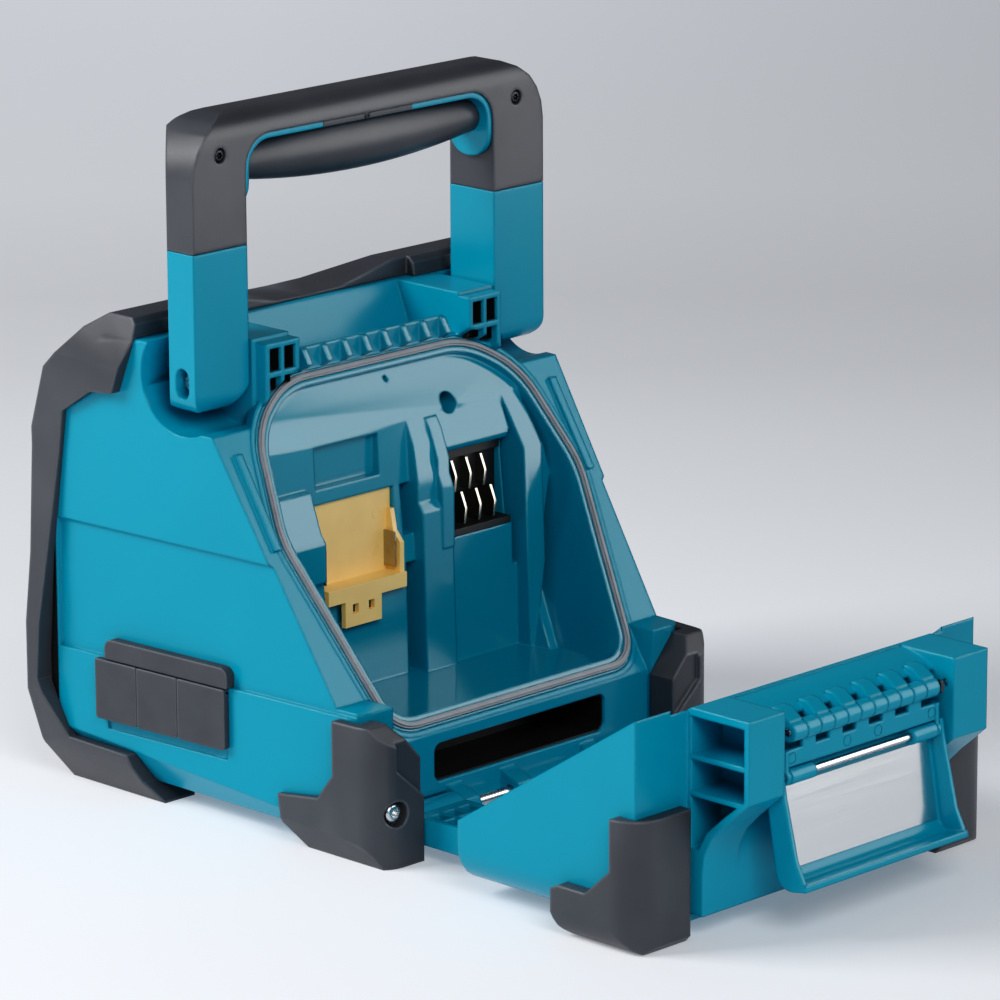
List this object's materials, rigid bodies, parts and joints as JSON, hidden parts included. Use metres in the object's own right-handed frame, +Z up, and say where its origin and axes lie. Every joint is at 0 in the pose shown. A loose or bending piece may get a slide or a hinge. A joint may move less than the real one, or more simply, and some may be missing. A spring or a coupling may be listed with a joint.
{
  "type": "portable jobsite speaker",
  "caption": "Portable jobsite speaker with let-down battery door, sealed battery bay, folding carry handle, over-centre door latch and rubber corner bumpers.",
  "frame": {"origin": "centre of the footprint on the floor, with the battery door lying open", "axes": "+X to the side with the sockets, +Y to the battery door, +Z up; the speaker front faces -Y"},
  "size_m": [0.235, 0.391, 0.303],
  "materials": {
    "teal_abs": "moulded satin",
    "black_abs": "moulded matt",
    "grey_elastomer": "moulded fine grain",
    "zinc_steel": "zinc plated",
    "black_grille": "powder coated",
    "black_basket": "painted",
    "cone_paper": "treated paper",
    "button_rubber": "moulded",
    "clear_lens": "clear",
    "board_laminate": "solder mask",
    "seal_rubber": "extruded",
    "amber_nylon": "moulded",
    "contact_brass": "tin plated",
    "black_screw": "black oxide",
    "spring_steel": "bright rolled"
  },
  "bodies": {
    "cabinet": {"rear_housing": "teal_abs", "bay_frame": "teal_abs", "front_baffle": "black_abs", "front_bumper": "grey_elastomer", "rear_bumper_left": "grey_elastomer", "rear_bumper_right": "grey_elastomer", "bumper_screws": "zinc_steel", "speaker_grille": "black_grille", "woofer_basket": "black_basket", "woofer_cone": "cone_paper", "woofer_magnet": "zinc_steel", "tweeters": "black_abs", "control_panel": "grey_elastomer", "status_lens": "clear_lens", "main_board": "board_laminate", "port_board": "board_laminate", "usb_socket": "zinc_steel", "audio_socket": "black_abs", "charger_socket": "black_abs", "port_cover_strip": "grey_elastomer", "bay_gasket": "seal_rubber", "slide_pack_terminal": "amber_nylon", "slide_pack_blades": "contact_brass", "stick_pack_terminal": "black_abs", "stick_pack_blades": "contact_brass", "handle_pivot_pins": "zinc_steel", "door_hinge_pin": "zinc_steel"},
    "handle": {"handle_frame": "teal_abs", "handle_cover": "grey_elastomer", "handle_grip": "grey_elastomer", "handle_screws": "black_screw"},
    "door": {"battery_door": "teal_abs", "door_bumper_left": "grey_elastomer", "door_bumper_right": "grey_elastomer", "latch_hinge_pin": "zinc_steel"},
    "link": {"latch_link": "teal_abs", "latch_rod": "zinc_steel"},
    "lever": {"latch_lever": "teal_abs", "lever_plate": "spring_steel"},
    "usb_port_flap": {"usb_flap": "grey_elastomer"},
    "audio_port_flap": {"audio_flap": "grey_elastomer"},
    "charger_port_flap": {"charger_flap": "grey_elastomer"},
    "power_key": {"power_button": "button_rubber"},
    "pairing_key": {"pairing_button": "button_rubber"},
    "play_key": {"play_button": "button_rubber"},
    "volume_down_key": {"volume_down_button": "button_rubber"},
    "volume_up_key": {"volume_up_button": "button_rubber"}
  },
  "joints": [
    {"name": "handle_fold", "type": "hinge", "parent": "cabinet", "child": "handle", "pos_m": [0, -0.10647, 0.19], "axis": [-1, 0, 0], "range_deg": [0, 90]},
    {"name": "door_hinge", "type": "hinge", "parent": "cabinet", "child": "door", "pos_m": [0, -0.00522, 0.01275], "axis": [1, 0, 0], "range_deg": [0, 90]},
    {"name": "latch_link_hinge", "type": "hinge", "parent": "door", "child": "link", "pos_m": [0, 0.17983, 0.085], "axis": [-1, 0, 0], "range_deg": [-75, 0]},
    {"name": "latch_lever_hinge", "type": "hinge", "parent": "link", "child": "lever", "pos_m": [0, 0.17983, 0.0666], "axis": [1, 0, 0], "range_deg": [-10, 170]},
    {"name": "usb_flap_hinge", "type": "hinge", "parent": "cabinet", "child": "usb_port_flap", "pos_m": [0.10759, -0.12028, 0.0608], "axis": [0.061, -0.9981, 0], "range_deg": [0, 105], "stiffness_Nm_per_rad": 0.01},
    {"name": "audio_flap_hinge", "type": "hinge", "parent": "cabinet", "child": "audio_port_flap", "pos_m": [0.10759, -0.12028, 0.0608], "axis": [0.061, -0.9981, 0], "range_deg": [0, 105], "stiffness_Nm_per_rad": 0.01},
    {"name": "charger_flap_hinge", "type": "hinge", "parent": "cabinet", "child": "charger_port_flap", "pos_m": [0.10759, -0.12028, 0.0608], "axis": [0.061, -0.9981, 0], "range_deg": [0, 105], "stiffness_Nm_per_rad": 0.01},
    {"name": "power_press", "type": "slide", "parent": "cabinet", "child": "power_key", "axis": [0, 1, 0], "range_m": [0, 0.0012], "stiffness_N_per_m": 400},
    {"name": "pairing_press", "type": "slide", "parent": "cabinet", "child": "pairing_key", "axis": [0, 1, 0], "range_m": [0, 0.0012], "stiffness_N_per_m": 400},
    {"name": "play_press", "type": "slide", "parent": "cabinet", "child": "play_key", "axis": [0, 1, 0], "range_m": [0, 0.0012], "stiffness_N_per_m": 400},
    {"name": "volume_down_press", "type": "slide", "parent": "cabinet", "child": "volume_down_key", "axis": [0, 1, 0], "range_m": [0, 0.0012], "stiffness_N_per_m": 400},
    {"name": "volume_up_press", "type": "slide", "parent": "cabinet", "child": "volume_up_key", "axis": [0, 1, 0], "range_m": [0, 0.0012], "stiffness_N_per_m": 400}
  ]
}
